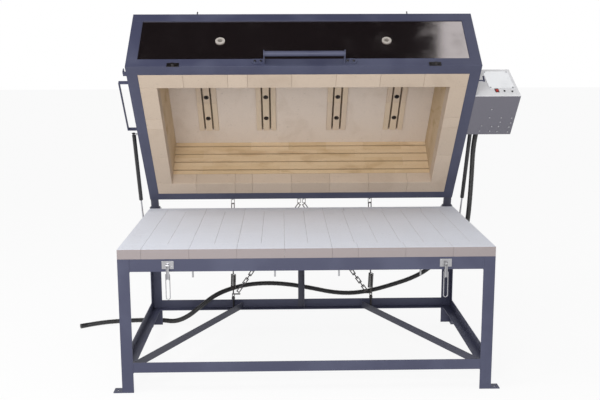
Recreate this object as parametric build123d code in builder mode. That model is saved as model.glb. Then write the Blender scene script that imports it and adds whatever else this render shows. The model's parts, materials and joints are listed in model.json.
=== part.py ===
from build123d import *
import os
from math import asin, atan2, cos, hypot, pi, radians, sin, sqrt, tan

os.makedirs("parts", exist_ok=True)

# Clamshell glass fusing kiln, millimetres, +Z up, origin on the floor below the middle of the bed.
# X runs along the kiln, the front is at -Y. Lid pieces are drawn in closed coordinates, the world
# coordinates that they have with the lid shut, on planes that are swung open about the hinge axis.

# Bricks and chamber
inner_width = 1524.0
inner_depth = 762.0
brick_length = 228.6
brick_thickness = 114.3
course = 63.5
rim_course = 76.2
wall_courses = 4
mortar = 0.6
wool = 25.45

# Steel sections
gauge = 4.8
sheet = 1.5
angle_leg = 57.0
low_leg = 51.0

# Stand and bed
rail_top = 674.0
rail_bottom = 612.0
slab = 47.5
low_rail_bottom = 103.7
low_rail_top = 155.4
foot_width = 44.0
foot_depth = 55.0
foot_thickness = 5.0

# Lid and hinge
closing_gap = 0.5
rim_proud = 2.0
lid_height = 420.0
open_angle = 49.66
hinge_reach = 66.2
hinge_drop = 13.0

# Worked out from the above
half_inner_x = inner_width / 2
half_inner_y = inner_depth / 2
brick_x = half_inner_x + brick_thickness
brick_y = half_inner_y + brick_thickness
panel_x = brick_x + wool
panel_y = brick_y + wool
skin_x = panel_x + sheet
skin_y = panel_y + sheet
half_x = skin_x + gauge
half_y = skin_y + gauge
bed_top = rail_top + slab
rim_z = bed_top + closing_gap
flange_z = rim_z + rim_proud
lid_top = rim_z + lid_height
wall_z = rim_z + rim_course
ceiling_z = wall_z + wall_courses * course
sheet_top = lid_top - gauge
roof_top = sheet_top - sheet
hinge_y = half_y + hinge_reach
hinge_z = rim_z - hinge_drop
leg_in_x = half_x - angle_leg
leg_in_y = half_y - angle_leg

LID_OPEN = (
    Location((0, hinge_y, hinge_z))
    * Location((0, 0, 0), (-open_angle, 0, 0))
    * Location((0, -hinge_y, -hinge_z))
)


def swing(plane):
    """Carry a plane drawn in closed coordinates to where it lies with the lid open."""
    return Plane(LID_OPEN * plane.location)


def opened(y, z):
    """Carry a closed (y, z) place to where it lies with the lid open."""
    turn = radians(open_angle)
    dy, dz = y - hinge_y, z - hinge_z
    return hinge_y + dy * cos(turn) + dz * sin(turn), hinge_z - dy * sin(turn) + dz * cos(turn)


def side_plane(x):
    """Plane whose sketches are drawn in (y, z) and grow towards +X."""
    return Plane(origin=(x, 0, 0), x_dir=(0, 1, 0), z_dir=(1, 0, 0))


def front_plane(y):
    """Plane whose sketches are drawn in (x, z) and grow towards the front."""
    return Plane(origin=(0, y, 0), x_dir=(1, 0, 0), z_dir=(0, -1, 0))


def block(x, y, z, mode=Mode.ADD):
    """Add or cut the box between three pairs of limits."""
    with Locations(((x[0] + x[1]) / 2, (y[0] + y[1]) / 2, (z[0] + z[1]) / 2)):
        Box(abs(x[1] - x[0]), abs(y[1] - y[0]), abs(z[1] - z[0]), mode=mode)


def rod(start, end, radius, mode=Mode.ADD):
    """Add or cut a round bar between two points."""
    path = Vector(*end) - Vector(*start)
    with Locations(Plane(origin=start, z_dir=path)):
        Cylinder(radius, path.length, align=(Align.CENTER, Align.CENTER, Align.MIN), mode=mode)


def tangent(point, centre, radius, side):
    """Where a line from a point just touches a circle, on its left (+1) or right (-1) side."""
    dy, dz = centre[0] - point[0], centre[1] - point[1]
    reach = hypot(dy, dz)
    turn = atan2(dz, dy) + side * asin(radius / reach)
    run = sqrt(reach**2 - radius**2)
    return point[0] + run * cos(turn), point[1] + run * sin(turn)


def ring(x, y, width, z, mode=Mode.ADD):
    """Add or cut a flat rectangular ring with the given outer half sizes."""
    block((-x, x), (-y, y), z, mode)
    if mode == Mode.ADD:
        block((width - x, x - width), (width - y, y - width), z, Mode.SUBTRACT)


def spans(limits, gap):
    """Lengths between consecutive joints, each end drawn in by half the gap."""
    return [(a + gap / 2, b - gap / 2) for a, b in zip(limits, limits[1:])]


def runs(start, end, first, step):
    """Joint places of a course: the ends, and every step from the first joint."""
    joints = [start]
    place = first
    while place < end - 1:
        joints.append(place)
        place += step
    return joints + [end]


def finish(builder, name):
    """Name a piece and write it out."""
    builder.part.label = name
    export_step(builder.part, f"parts/{name}.step")


# Stand: legs, feet, rails, braces
with BuildPart() as stand_legs:
    for sx in (-1, 1):
        for sy in (-1, 1):
            block((sx * leg_in_x, sx * half_x), (sy * skin_y, sy * half_y), (0, rail_top))
            block((sx * skin_x, sx * half_x), (sy * leg_in_y, sy * half_y), (0, rail_top))
finish(stand_legs, "stand_legs")

foot_x = half_x + 25.0
foot_y = half_y - foot_depth / 2
foot_hole_radius = 7.0
with BuildPart() as foot_plates:
    for sx in (-1, 1):
        for sy in (-1, 1):
            block(
                (sx * half_x, sx * (half_x + foot_width)),
                (sy * (half_y - foot_depth), sy * half_y),
                (0, foot_thickness),
            )
    with Locations((0, 0, foot_thickness)):
        with GridLocations(2 * foot_x, 2 * foot_y, 2, 2):
            Hole(foot_hole_radius, foot_thickness)
finish(foot_plates, "foot_plates")

with BuildPart() as lower_rails:
    ring(skin_x, skin_y, low_leg - gauge, (low_rail_bottom, low_rail_bottom + gauge))
    for s in (-1, 1):
        block((-leg_in_x, leg_in_x), (s * skin_y, s * half_y), (low_rail_bottom, low_rail_top))
        block((s * skin_x, s * half_x), (-leg_in_y, leg_in_y), (low_rail_bottom, low_rail_top))
finish(lower_rails, "lower_rails")

brace_front = (872.0, -492.0)
brace_rear = (378.0, 498.0)
brace_width = 38.0
brace_z = low_rail_bottom + gauge
with BuildPart() as lower_braces:
    for s in (-1, 1):
        start = Vector(s * brace_front[0], brace_front[1], brace_z)
        along = Vector(s * brace_rear[0], brace_rear[1], brace_z) - start
        with Locations(Plane(origin=start, x_dir=along, z_dir=(0, 0, 1))):
            Box(along.length, brace_width, gauge, align=(Align.MIN, Align.CENTER, Align.MIN))
        upright = Plane(origin=start, x_dir=along, z_dir=(0, 0, 1)).offset(gauge)
        with Locations(upright * Pos(0, s * (brace_width - gauge) / 2, 0)):
            Box(along.length, gauge, brace_width - gauge, align=(Align.MIN, Align.CENTER, Align.MIN))
finish(lower_braces, "lower_braces")

post_x = (-24.0, 14.0)
with BuildPart() as centre_post:
    block(post_x, (skin_y - gauge, skin_y), (brace_z, rail_top - gauge))
    block((post_x[1] - gauge, post_x[1]), (skin_y - 38.0, skin_y), (brace_z, rail_top - gauge))
finish(centre_post, "centre_post")

with BuildPart() as bed_frame:
    ring(skin_x, skin_y, angle_leg - gauge, (rail_top - gauge, rail_top))
    for s in (-1, 1):
        block((-leg_in_x, leg_in_x), (s * skin_y, s * half_y), (rail_bottom, rail_top))
        block((s * skin_x, s * half_x), (-leg_in_y, leg_in_y), (rail_bottom, rail_top))
finish(bed_frame, "bed_frame")

crossbar_pitch = 300.0
crossbar_leg = 38.0
with BuildPart() as bed_crossbars:
    for k in range(-2, 3):
        x = k * crossbar_pitch
        block((x, x + crossbar_leg), (-leg_in_y, leg_in_y), (rail_top - gauge, rail_top))
        block((x, x + gauge), (-leg_in_y, leg_in_y), (rail_top - crossbar_leg, rail_top))
finish(bed_crossbars, "bed_crossbars")

stud_places = [-551.0, -155.0, 155.0, 551.0]
stud_y = -498.0
stud_bottom = 576.0
with BuildPart() as bed_studs:
    for x in stud_places:
        rod((x, stud_y, stud_bottom), (x, stud_y, rail_top - gauge), 4.5)
        with Locations((x, stud_y, rail_top - gauge)):
            with BuildSketch(Plane(origin=(x, stud_y, rail_top - gauge - 8))):
                RegularPolygon(9, 6)
            extrude(amount=8)
finish(bed_studs, "bed_studs")

# Bed of stretchers along both long edges and headers between them
bed_row = half_y - brick_thickness
border_joints = [-half_x, -793.6, -565.0, -336.4, -107.8, 120.8, 245.0, 473.6, 702.0, half_x]
field_rows = [-bed_row, -bed_row + brick_length, -bed_row + 2 * brick_length]
field_rows += [-bed_row + 3 * brick_length, bed_row]
with BuildPart() as bed_bricks:
    for x in spans(border_joints, mortar):
        for s in (-1, 1):
            block(x, (s * (bed_row + mortar / 2), s * half_y), (rail_top, bed_top))
    for x in spans(runs(-half_x, half_x, border_joints[1], brick_thickness), mortar):
        for y in spans(field_rows, mortar):
            block(x, y, (rail_top, bed_top))
finish(bed_bricks, "bed_bricks")

# Hinges: an ear pair on each rear leg, a strap with a barrel on the lid, one pin through both,
# and beside each ear pair the bracket for the strut's foot
strap_x = (861.0, 905.0)
ear_thickness = 6.0
side_play = 0.5
pin_radius = 6.0
ear_radius = 15.0
barrel_radius = 13.0
running_fit = 0.05
strut_foot = (488.0, 645.0)
bracket_depth = 12.0
hinge = (hinge_y, hinge_z)
ear_inner = (strap_x[0] - side_play, strap_x[1] + side_play)
with BuildPart() as hinge_brackets:
    for s in (-1, 1):
        for x in (ear_inner[0] - ear_thickness, ear_inner[1]):
            with BuildSketch(side_plane(min(s * x, s * (x + ear_thickness)))):
                with BuildLine():
                    Polyline(
                        (half_y, rail_bottom),
                        (half_y, rail_top - 2),
                        tangent((half_y, rail_top - 2), hinge, ear_radius, 1),
                        tangent((half_y, rail_bottom), hinge, ear_radius, -1),
                        close=True,
                    )
                make_face()
                with Locations(hinge):
                    Circle(ear_radius)
                    Circle(pin_radius + 2 * running_fit, mode=Mode.SUBTRACT)
            extrude(amount=ear_thickness)
        block(
            (s * (ear_inner[0] - ear_thickness), s * (ear_inner[1] + ear_thickness)),
            (half_y, half_y + ear_thickness),
            (rail_bottom, rail_top - 2),
        )
        y, z = strut_foot
        block((s * half_x, s * (half_x + bracket_depth)), (y - 22, y + 22), (z - 25, z + 25))
finish(hinge_brackets, "hinge_brackets")

with BuildPart() as hinge_pins:
    for s in (-1, 1):
        inner, outer = ear_inner[0] - ear_thickness, ear_inner[1] + ear_thickness
        rod((s * (inner - 8), hinge_y, hinge_z), (s * (outer + 0.3), hinge_y, hinge_z), pin_radius)
        rod((s * (outer + 0.3), hinge_y, hinge_z), (s * (outer + 5), hinge_y, hinge_z), 10)
finish(hinge_pins, "hinge_pins")

strap_top = 800.0
with BuildPart() as hinge_arms:
    for s in (-1, 1):
        with BuildSketch(swing(side_plane(min(s * strap_x[0], s * strap_x[1])))):
            with BuildLine():
                Polyline(
                    (half_y, flange_z + 2),
                    (half_y, strap_top),
                    (half_y + 8, strap_top),
                    (half_y + 8, flange_z + 16),
                    tangent((half_y + 8, flange_z + 16), hinge, barrel_radius, 1),
                    tangent((half_y, flange_z + 2), hinge, barrel_radius, -1),
                    close=True,
                )
            make_face()
            with Locations(hinge):
                Circle(barrel_radius)
                Circle(pin_radius + running_fit, mode=Mode.SUBTRACT)
        extrude(amount=strap_x[1] - strap_x[0])
finish(hinge_arms, "hinge_arms")

# Lid frame
with BuildPart(swing(Plane.XY)) as lid_rim_frame:
    ring(half_x, half_y, gauge, (flange_z, flange_z + angle_leg))
    ring(half_x, half_y, angle_leg, (flange_z, flange_z + gauge))
finish(lid_rim_frame, "lid_rim_frame")

with BuildPart(swing(Plane.XY)) as lid_top_frame:
    ring(half_x, half_y, gauge, (lid_top - angle_leg, lid_top))
    ring(half_x, half_y, angle_leg, (lid_top - gauge, lid_top))
finish(lid_top_frame, "lid_top_frame")

with BuildPart(swing(Plane.XY)) as lid_corner_posts:
    for sx in (-1, 1):
        for sy in (-1, 1):
            post_z = (flange_z + angle_leg, lid_top - angle_leg)
            block((sx * leg_in_x, sx * half_x), (sy * skin_y, sy * half_y), post_z)
            block((sx * skin_x, sx * half_x), (sy * leg_in_y, sy * half_y), post_z)
finish(lid_corner_posts, "lid_corner_posts")

peephole_x = 435.0
peephole_z = wall_z + 2 * course
sleeve_radius = 16.0
probe_y = -275.0
probe_z = wall_z + 2.5 * course
probe_radius = 5.0
skin_z = (flange_z + gauge, roof_top)
with BuildPart(swing(Plane.XY)) as lid_front_panel:
    block((-panel_x, panel_x), (-skin_y, -panel_y), skin_z)
    for s in (-1, 1):
        rod(
            (s * peephole_x, -half_y, peephole_z),
            (s * peephole_x, -panel_y + 1, peephole_z),
            sleeve_radius + 0.3,
            Mode.SUBTRACT,
        )
finish(lid_front_panel, "lid_front_panel")

with BuildPart(swing(Plane.XY)) as lid_rear_panel:
    block((-panel_x, panel_x), (panel_y, skin_y), skin_z)
finish(lid_rear_panel, "lid_rear_panel")

with BuildPart(swing(Plane.XY)) as lid_side_panels:
    for s in (-1, 1):
        block((s * panel_x, s * skin_x), (-skin_y, skin_y), skin_z)
    rod((panel_x - 1, probe_y, probe_z), (half_x, probe_y, probe_z), probe_radius + 0.3, Mode.SUBTRACT)
finish(lid_side_panels, "lid_side_panels")

with BuildPart(swing(Plane.XY)) as lid_top_panel:
    block((-skin_x, skin_x), (-skin_y, skin_y), (roof_top, sheet_top))
finish(lid_top_panel, "lid_top_panel")

# Lid bricks: a rim course rebated for the flange, then four thinner courses
rebate = rim_proud + gauge + 0.2
rim_front_joints = [-brick_x, -622.45, -393.85, -291.95, -63.35, 165.25, 393.85, 622.45, brick_x]
rim_side_joints = [-half_inner_y, -152.4, -76.2, 152.4, half_inner_y]
with BuildPart(swing(Plane.XY)) as lid_rim_bricks:
    for x in spans(rim_front_joints, mortar):
        for s in (-1, 1):
            block(x, (s * half_inner_y, s * brick_y), (rim_z, wall_z - mortar))
    for y in spans(rim_side_joints, mortar):
        for s in (-1, 1):
            block((s * half_inner_x, s * brick_x), y, (rim_z, wall_z - mortar))
    step_x, step_y = leg_in_x - 0.2, leg_in_y - 0.2
    for s in (-1, 1):
        cut_z = (rim_z, rim_z + rebate)
        block((-brick_x, brick_x), (s * step_y, s * brick_y), cut_z, Mode.SUBTRACT)
        block((s * step_x, s * brick_x), (-brick_y, brick_y), cut_z, Mode.SUBTRACT)
finish(lid_rim_bricks, "lid_rim_bricks")

groove_height = 10.0
groove_depth = 20.0
element_radius = 4.7
element_fit = 0.3
long_joints = [
    runs(-brick_x, brick_x, -817.6, brick_length),
    runs(-brick_x, brick_x, -761.6, brick_length),
]


def long_wall(s):
    """Four courses of grooved bricks on the front (-1) or the rear (+1) of the chamber."""
    for k in range(wall_courses):
        low = wall_z + k * course
        groove = low + course / 2
        for x in spans(long_joints[k % 2], mortar):
            block(x, (s * half_inner_y, s * brick_y), (low, low + course - mortar))
        block(
            (-half_inner_x, half_inner_x),
            (s * half_inner_y, s * (half_inner_y + groove_depth)),
            (groove - groove_height / 2, groove + groove_height / 2),
            Mode.SUBTRACT,
        )


with BuildPart(swing(Plane.XY)) as lid_front_bricks:
    long_wall(-1)
    for s in (-1, 1):
        rod(
            (s * peephole_x, -brick_y - 1, peephole_z),
            (s * peephole_x, -half_inner_y + 1, peephole_z),
            sleeve_radius + 0.3,
            Mode.SUBTRACT,
        )
finish(lid_front_bricks, "lid_front_bricks")

with BuildPart(swing(Plane.XY)) as lid_rear_bricks:
    long_wall(1)
finish(lid_rear_bricks, "lid_rear_bricks")

side_cut = inner_depth - 3 * brick_length
with BuildPart(swing(Plane.XY)) as lid_side_bricks:
    for k in range(wall_courses):
        low = wall_z + k * course
        first = -half_inner_y + (brick_length if k % 2 == 0 else side_cut)
        for y in spans(runs(-half_inner_y, half_inner_y, first, brick_length), mortar):
            for s in (-1, 1):
                block((s * half_inner_x, s * brick_x), y, (low, low + course - mortar))
    rod(
        (half_inner_x - 1, probe_y, probe_z),
        (brick_x + 1, probe_y, probe_z),
        probe_radius + 0.3,
        Mode.SUBTRACT,
    )
finish(lid_side_bricks, "lid_side_bricks")

with BuildPart(swing(Plane.XY)) as wall_backing:
    ring(panel_x, panel_y, wool, (flange_z + gauge, ceiling_z))
    for s in (-1, 1):
        rod(
            (s * peephole_x, -panel_y - 1, peephole_z),
            (s * peephole_x, -brick_y + 1, peephole_z),
            sleeve_radius + 0.3,
            Mode.SUBTRACT,
        )
    rod(
        (brick_x - 1, probe_y, probe_z),
        (panel_x + 1, probe_y, probe_z),
        probe_radius + 0.3,
        Mode.SUBTRACT,
    )
finish(wall_backing, "wall_backing")

# Ceiling: a roof board with four pocketed element holders
holder_places = [-550.0, -208.0, 208.0, 550.0]
holder_half = 267.0
holder_drop = 10.0
holder_height = 63.5
slot_offset = 23.5
slot_width = 10.0
slot_depth = 25.0
holder_joints = [-holder_half, holder_half - 2 * brick_length, holder_half - brick_length, holder_half]
bolt_rows = [161.0, -9.0, -179.0]
holder_z = (ceiling_z - holder_drop, ceiling_z - holder_drop + holder_height)
with BuildPart(swing(Plane.XY)) as roof_board:
    block((-panel_x, panel_x), (-panel_y, panel_y), (ceiling_z, roof_top))
    for x in holder_places:
        block(
            (x - brick_thickness / 2 - 0.2, x + brick_thickness / 2 + 0.2),
            (-holder_half - 0.2, holder_half + 0.2),
            (ceiling_z, holder_z[1]),
            Mode.SUBTRACT,
        )
finish(roof_board, "roof_board")

with BuildPart(swing(Plane.XY)) as ceiling_holders:
    for x in holder_places:
        for y in spans(holder_joints, mortar):
            block((x - brick_thickness / 2, x + brick_thickness / 2), y, holder_z)
        for s in (-1, 1):
            middle = x + s * slot_offset
            block(
                (middle - slot_width / 2, middle + slot_width / 2),
                (-holder_half, holder_half),
                (holder_z[0], holder_z[0] + slot_depth),
                Mode.SUBTRACT,
            )
finish(ceiling_holders, "ceiling_holders")

with BuildPart(swing(Plane.XY)) as ceiling_bolts:
    for x in holder_places:
        for y in bolt_rows:
            rod((x, y, holder_z[0] - 3), (x, y, holder_z[0]), 14)
            rod((x, y, holder_z[0] - 9), (x, y, holder_z[0] - 3), 6)
finish(ceiling_bolts, "ceiling_bolts")

element_y = half_inner_y + groove_depth - element_fit - element_radius
element_z = holder_z[0] + slot_depth - element_fit - element_radius
with BuildPart(swing(Plane.XY)) as heating_elements:
    for k in range(wall_courses):
        z = wall_z + (k + 0.5) * course
        for s in (-1, 1):
            rod((1 - half_inner_x, s * element_y, z), (half_inner_x - 1, s * element_y, z), element_radius)
    for x in holder_places:
        for s in (-1, 1):
            place = x + s * slot_offset
            rod((place, 1 - holder_half, element_z), (place, holder_half - 1, element_z), element_radius)
finish(heating_elements, "heating_elements")

# Lid hardware
handle_y = -(half_y + 55.0)
handle_z = 757.0
handle_half = 202.0
handle_foot = 270.0
handle_plate = 5.0
handle_tall = 19.0
with BuildPart(swing(Plane.XY)) as lid_handle:
    rod((-handle_half, handle_y, handle_z), (handle_half, handle_y, handle_z), 13.5)
    for s in (-1, 1):
        arm = Plane(origin=(s * handle_half, 0, 0), x_dir=(0, 1, 0), z_dir=(1, 0, 0))
        with BuildSketch(swing(arm)):
            with Locations(((handle_y - half_y) / 2, handle_z)):
                Rectangle(abs(handle_y + half_y), 2 * handle_tall)
            with Locations((handle_y, handle_z)):
                Circle(handle_tall)
        extrude(amount=s * handle_plate)
        with BuildSketch(swing(front_plane(-half_y))):
            with Locations(((s * handle_half + s * handle_foot) / 2 - s * handle_tall / 2, handle_z)):
                Rectangle(handle_foot - handle_half - handle_tall, 2 * handle_tall)
            with Locations((s * (handle_foot - handle_tall), handle_z)):
                Circle(handle_tall)
        extrude(amount=handle_plate)
finish(lid_handle, "lid_handle")

strap_mid = (strap_x[0] + strap_x[1]) / 2
top_pin = (569.0, -500.0)
with BuildPart(swing(Plane.XY)) as lid_bolts:
    for s in (-1, 1):
        for x in (222.0, 252.0):
            face = -half_y - handle_plate
            rod((s * x, face, handle_z), (s * x, face - 4, handle_z), 6)
        for z in (752.0, 784.0):
            rod((s * strap_mid, half_y + 8, z), (s * strap_mid, half_y + 14, z), 9)
        rod((s * top_pin[0], top_pin[1], lid_top), (s * top_pin[0], top_pin[1], lid_top + 50), 4)
finish(lid_bolts, "lid_bolts")

sleeve_bore = 13.0
with BuildPart(swing(Plane.XY)) as peep_sleeves:
    for s in (-1, 1):
        x = s * peephole_x
        rod((x, -half_y, peephole_z), (x, -half_inner_y, peephole_z), sleeve_radius)
        rod((x, -skin_y, peephole_z), (x, -half_y, peephole_z), sleeve_radius + 9)
        rod((x, -half_y - 1, peephole_z), (x, 1 - half_inner_y, peephole_z), sleeve_bore, Mode.SUBTRACT)
finish(peep_sleeves, "peep_sleeves")

with BuildPart(swing(Plane.XY)) as thermocouple:
    rod((half_inner_x - 12, probe_y, probe_z), (half_x + 20, probe_y, probe_z), probe_radius)
    rod((half_x + 20, probe_y, probe_z), (half_x + 45, probe_y, probe_z), 16)
finish(thermocouple, "thermocouple")

side_bar_x = 958.0
side_bar_y = (-413.0, -66.0)
side_bar_z = (flange_z, flange_z + 20)
with BuildPart(swing(Plane.XY)) as side_bracket:
    block((-side_bar_x, 5 - side_bar_x), side_bar_y, side_bar_z)
    for y in side_bar_y:
        inward = 5 if y == side_bar_y[0] else -5
        block((-side_bar_x, -half_x), (y, y + inward), side_bar_z)
    block((-half_x - 17, -half_x), (-491.5, -464.5), (flange_z, flange_z + 5))
    block((-half_x - 17, -half_x - 12), (-491.5, -464.5), (flange_z, flange_z + 28))
    rod((half_x, -413.0, flange_z + 12), (half_x + 30, -413.0, flange_z + 12), 3.5)
    rod((half_x + 30, -413.0, flange_z + 6), (half_x + 30, -413.0, flange_z + 42), 4.5)
    for y in (-395.0, -431.0):
        rod((half_x, y, flange_z + 22), (half_x + 5, y, flange_z + 22), 6)
finish(side_bracket, "side_bracket")

# Toggle latches: a tongue on the front rail, a channel lever and a wire bail on it
latch_x = 667.0
lever_pivot = (-half_y - 13.0, 645.0)
bail_pivot = (lever_pivot[0] - 1.0, 603.0)
tongue_radius = 7.5
tongue_half = 4.5
latch_pin = 2.5
lever_half = 7.0
lever_wall = 2.0
lever_radius = 7.0
lever_end = 575.0
wire = 2.2
bail_length = 126.5
bail_half = lever_half + 0.5 + wire
plate_y = -half_y - 3.0
with BuildPart() as latch_bases:
    for x in (-latch_x, latch_x):
        block((x - 28.5, x + 28.5), (plate_y, -half_y), (626, 665))
        with BuildSketch(side_plane(x - tongue_half)):
            with BuildLine():
                Polyline(
                    (plate_y, lever_pivot[1] - tongue_radius),
                    (lever_pivot[0], lever_pivot[1] - tongue_radius),
                    (lever_pivot[0], lever_pivot[1] + tongue_radius),
                    (plate_y, lever_pivot[1] + tongue_radius),
                    close=True,
                )
            make_face()
            with Locations(lever_pivot):
                Circle(tongue_radius)
        extrude(amount=2 * tongue_half)
        rod((x - 7.2, *lever_pivot), (x + 7.2, *lever_pivot), latch_pin)
        for s in (-1, 1):
            for z in (634.0, 657.0):
                rod((x + s * 21, plate_y - 2.5, z), (x + s * 21, plate_y, z), 4)
finish(latch_bases, "latch_bases")


def lever(x):
    """Channel lever at the given X: two walls, and a back web below the tongue."""
    for wall in (x - lever_half, x + lever_half - lever_wall):
        with Locations(Plane(origin=(wall, 0, 0), x_dir=(0, 1, 0), z_dir=(1, 0, 0))):
            with Locations((lever_pivot[0], (lever_pivot[1] + lever_end) / 2, lever_wall / 2)):
                Box(2 * lever_radius, lever_pivot[1] - lever_end, lever_wall)
            with Locations((*lever_pivot, lever_wall / 2)):
                Cylinder(lever_radius, lever_wall)
    back = lever_pivot[0] + lever_radius
    block((x - lever_half, x + lever_half), (back - lever_wall, back), (lever_end, 632))
    rod((x - 10, *lever_pivot), (x + 10, *lever_pivot), latch_pin + running_fit, Mode.SUBTRACT)
    rod((x - 10, *bail_pivot), (x + 10, *bail_pivot), wire + running_fit, Mode.SUBTRACT)


def bail(x):
    """Wire bail hanging from the lever: two legs, an inturned end on each and a round bottom."""
    y, top = bail_pivot
    low = top - bail_length + wire
    with BuildLine(front_plane(y)) as bend:
        FilletPolyline(
            (x - 5, top),
            (x - bail_half, top),
            (x - bail_half, low),
            (x + bail_half, low),
            (x + bail_half, top),
            (x + 5, top),
            radius=[wire + 0.2, bail_half - 0.1, bail_half - 0.1, wire + 0.2],
        )
    with BuildSketch(Plane(origin=(x - 5, y, top), z_dir=(-1, 0, 0))) as section:
        Circle(wire)
    sweep(section.sketch, path=bend.wires()[0])


with BuildPart() as left_latch_lever:
    lever(-latch_x)
finish(left_latch_lever, "left_latch_lever")

with BuildPart() as right_latch_lever:
    lever(latch_x)
finish(right_latch_lever, "right_latch_lever")

with BuildPart() as left_latch_bail:
    bail(-latch_x)
finish(left_latch_bail, "left_latch_bail")

with BuildPart() as right_latch_bail:
    bail(latch_x)
finish(right_latch_bail, "right_latch_bail")

shelf_top = bail_pivot[1] + bail_length - 2 * wire - 0.3
with BuildPart(swing(Plane.XY)) as latch_keepers:
    for x in (-latch_x, latch_x):
        block((x - 31, x + 31), (plate_y, -half_y), (shelf_top - 2.4, flange_z + 25))
        block((x - 6, x + 6), (bail_pivot[0] - 6, plate_y), (shelf_top - 2.4, shelf_top))
        block((x - 6, x + 6), (bail_pivot[0] - 6, bail_pivot[0] - 3.6), (shelf_top, shelf_top + 8))
        for s in (-1, 1):
            rod((x + s * 22, plate_y - 2.5, flange_z + 13), (x + s * 22, plate_y, flange_z + 13), 4)
finish(latch_keepers, "latch_keepers")

# Gas struts: cylinder on a lid stud, rod running down to a stud that stands off a leg bracket
strut_x = 940.0
strut_top = (12.05, 772.0)
strut_radius = 11.0
cylinder_length = 430.0
rod_radius = 5.0
piston_place = 300.0
stud_radius = 5.0
eye_radius = 9.5
eye_half = 6.0
strut_open = opened(*strut_top)
strut_dir = Vector(0, strut_foot[0] - strut_open[0], strut_foot[1] - strut_open[1])
strut_length = strut_dir.length
with BuildPart(swing(Plane.XY)) as strut_upper_studs:
    for s in (-1, 1):
        rod((s * half_x, *strut_top), (s * (half_x + 4), *strut_top), 16)
        rod((s * half_x, *strut_top), (s * (strut_x + eye_half + 1), *strut_top), stud_radius)
        rod((s * (strut_x + eye_half + 1), *strut_top), (s * (strut_x + eye_half + 5), *strut_top), 8)
finish(strut_upper_studs, "strut_upper_studs")


def strut_axis(s):
    """Plane at the upper stud, looking down the strut, for the left (-1) or the right (+1)."""
    return Plane(origin=(s * strut_x, *strut_open), x_dir=(1, 0, 0), z_dir=strut_dir)


def cylinder_body():
    """Strut cylinder along +Z with an eye round the upper stud and a bore for the piston."""
    with Locations((0, 0, 8)):
        Cylinder(strut_radius, cylinder_length - 8, align=(Align.CENTER, Align.CENTER, Align.MIN))
    rod((-eye_half, 0, 0), (eye_half, 0, 0), eye_radius)
    rod((-20, 0, 0), (20, 0, 0), stud_radius + running_fit, Mode.SUBTRACT)
    with Locations((0, 0, 25)):
        Cylinder(
            strut_radius - 2,
            cylinder_length - 33,
            align=(Align.CENTER, Align.CENTER, Align.MIN),
            mode=Mode.SUBTRACT,
        )
    with Locations((0, 0, cylinder_length - 10)):
        Cylinder(rod_radius + running_fit, 30, mode=Mode.SUBTRACT)


def rod_body(s):
    """Piston and rod along +Z, ending in an eye on its own stud."""
    rod((0, 0, piston_place), (0, 0, piston_place + 12), strut_radius - 2 - running_fit)
    rod((0, 0, piston_place), (0, 0, strut_length), rod_radius)
    rod((-eye_half, 0, strut_length), (eye_half, 0, strut_length), eye_radius)
    inner = half_x + bracket_depth + 0.3 - strut_x
    rod((s * inner, 0, strut_length), (0, 0, strut_length), stud_radius)


with BuildPart(strut_axis(-1)) as left_strut_cylinder:
    cylinder_body()
finish(left_strut_cylinder, "left_strut_cylinder")

with BuildPart(strut_axis(1)) as right_strut_cylinder:
    cylinder_body()
finish(right_strut_cylinder, "right_strut_cylinder")

with BuildPart(strut_axis(-1)) as left_strut_rod:
    rod_body(-1)
finish(left_strut_rod, "left_strut_rod")

with BuildPart(strut_axis(1)) as right_strut_rod:
    rod_body(1)
finish(right_strut_rod, "right_strut_rod")

# Chain restraints: each clevis turns on an eye post and carries an upright and a slanting chain
eye_place = (500.0, 172.0)
eye_x = 417.0
eye_post = 5.0
clevis_pin = 6.0
chain_top = (575.0, 774.0)
slant_top_x = 15.0
link_bar = 6.0
link_width = 22.0
link_pitch = 30.0
link_slack = 0.3
spring_span = (51.0, 146.0)
spring_radius = 16.0
hook_play = 8.5
shackle_drop = 33.0
slant_foot_offset = 30.0
slant_foot = 40.0
chain_open = opened(*chain_top)
chain_dir = Vector(0, chain_open[0] - eye_place[0], chain_open[1] - eye_place[1])
chain_length = chain_dir.length
with BuildPart() as restraint_eyes:
    for s in (-1, 1):
        x, (y, z) = s * eye_x, eye_place
        rod((x, y, brace_z), (x, y, z - 12.5), eye_post)
        rod((x - 3, y, z), (x + 3, y, z), 13)
        rod((x - 3.5, y, z), (x + 3.5, y, z), clevis_pin + running_fit, Mode.SUBTRACT)
finish(restraint_eyes, "restraint_eyes")


def chain(start, end):
    """Straight chain of flat links between two places in the chain plane, every other one turned."""
    path = Vector(*end) - Vector(*start)
    count = round(path.length / link_pitch)
    pitch = path.length / count
    facing = path.cross(Vector(0, 0, 1))
    for k in range(count):
        middle = Vector(*start) + path * ((k + 0.5) / count)
        normal = facing if (count - k) % 2 == 0 else Vector(0, 0, 1)
        with Locations(Plane(origin=middle, x_dir=path, z_dir=normal)):
            Box(pitch + 2 * link_bar + link_slack, link_width, link_bar)
            Box(pitch + link_slack, link_width - 2 * link_bar, link_bar, mode=Mode.SUBTRACT)


def shackle(x):
    """U-shaped shackle round the bracket at the given X, its pin through the bracket's hole."""
    low = chain_length - shackle_drop
    for side in (-1, 1):
        block((x + side * 8, x + side * 11), (low, chain_length + 4), (-4, 4))
    block((x - 11, x + 11), (low, low + 3), (-4, 4))
    rod((x - 12, chain_length, 0), (x + 12, chain_length, 0), link_bar / 2)


def chain_plane():
    """Plane through both eyes that holds the chains, Y up along them."""
    return Plane(origin=(0, *eye_place), x_dir=(1, 0, 0), z_dir=Vector(1, 0, 0).cross(chain_dir))


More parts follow.
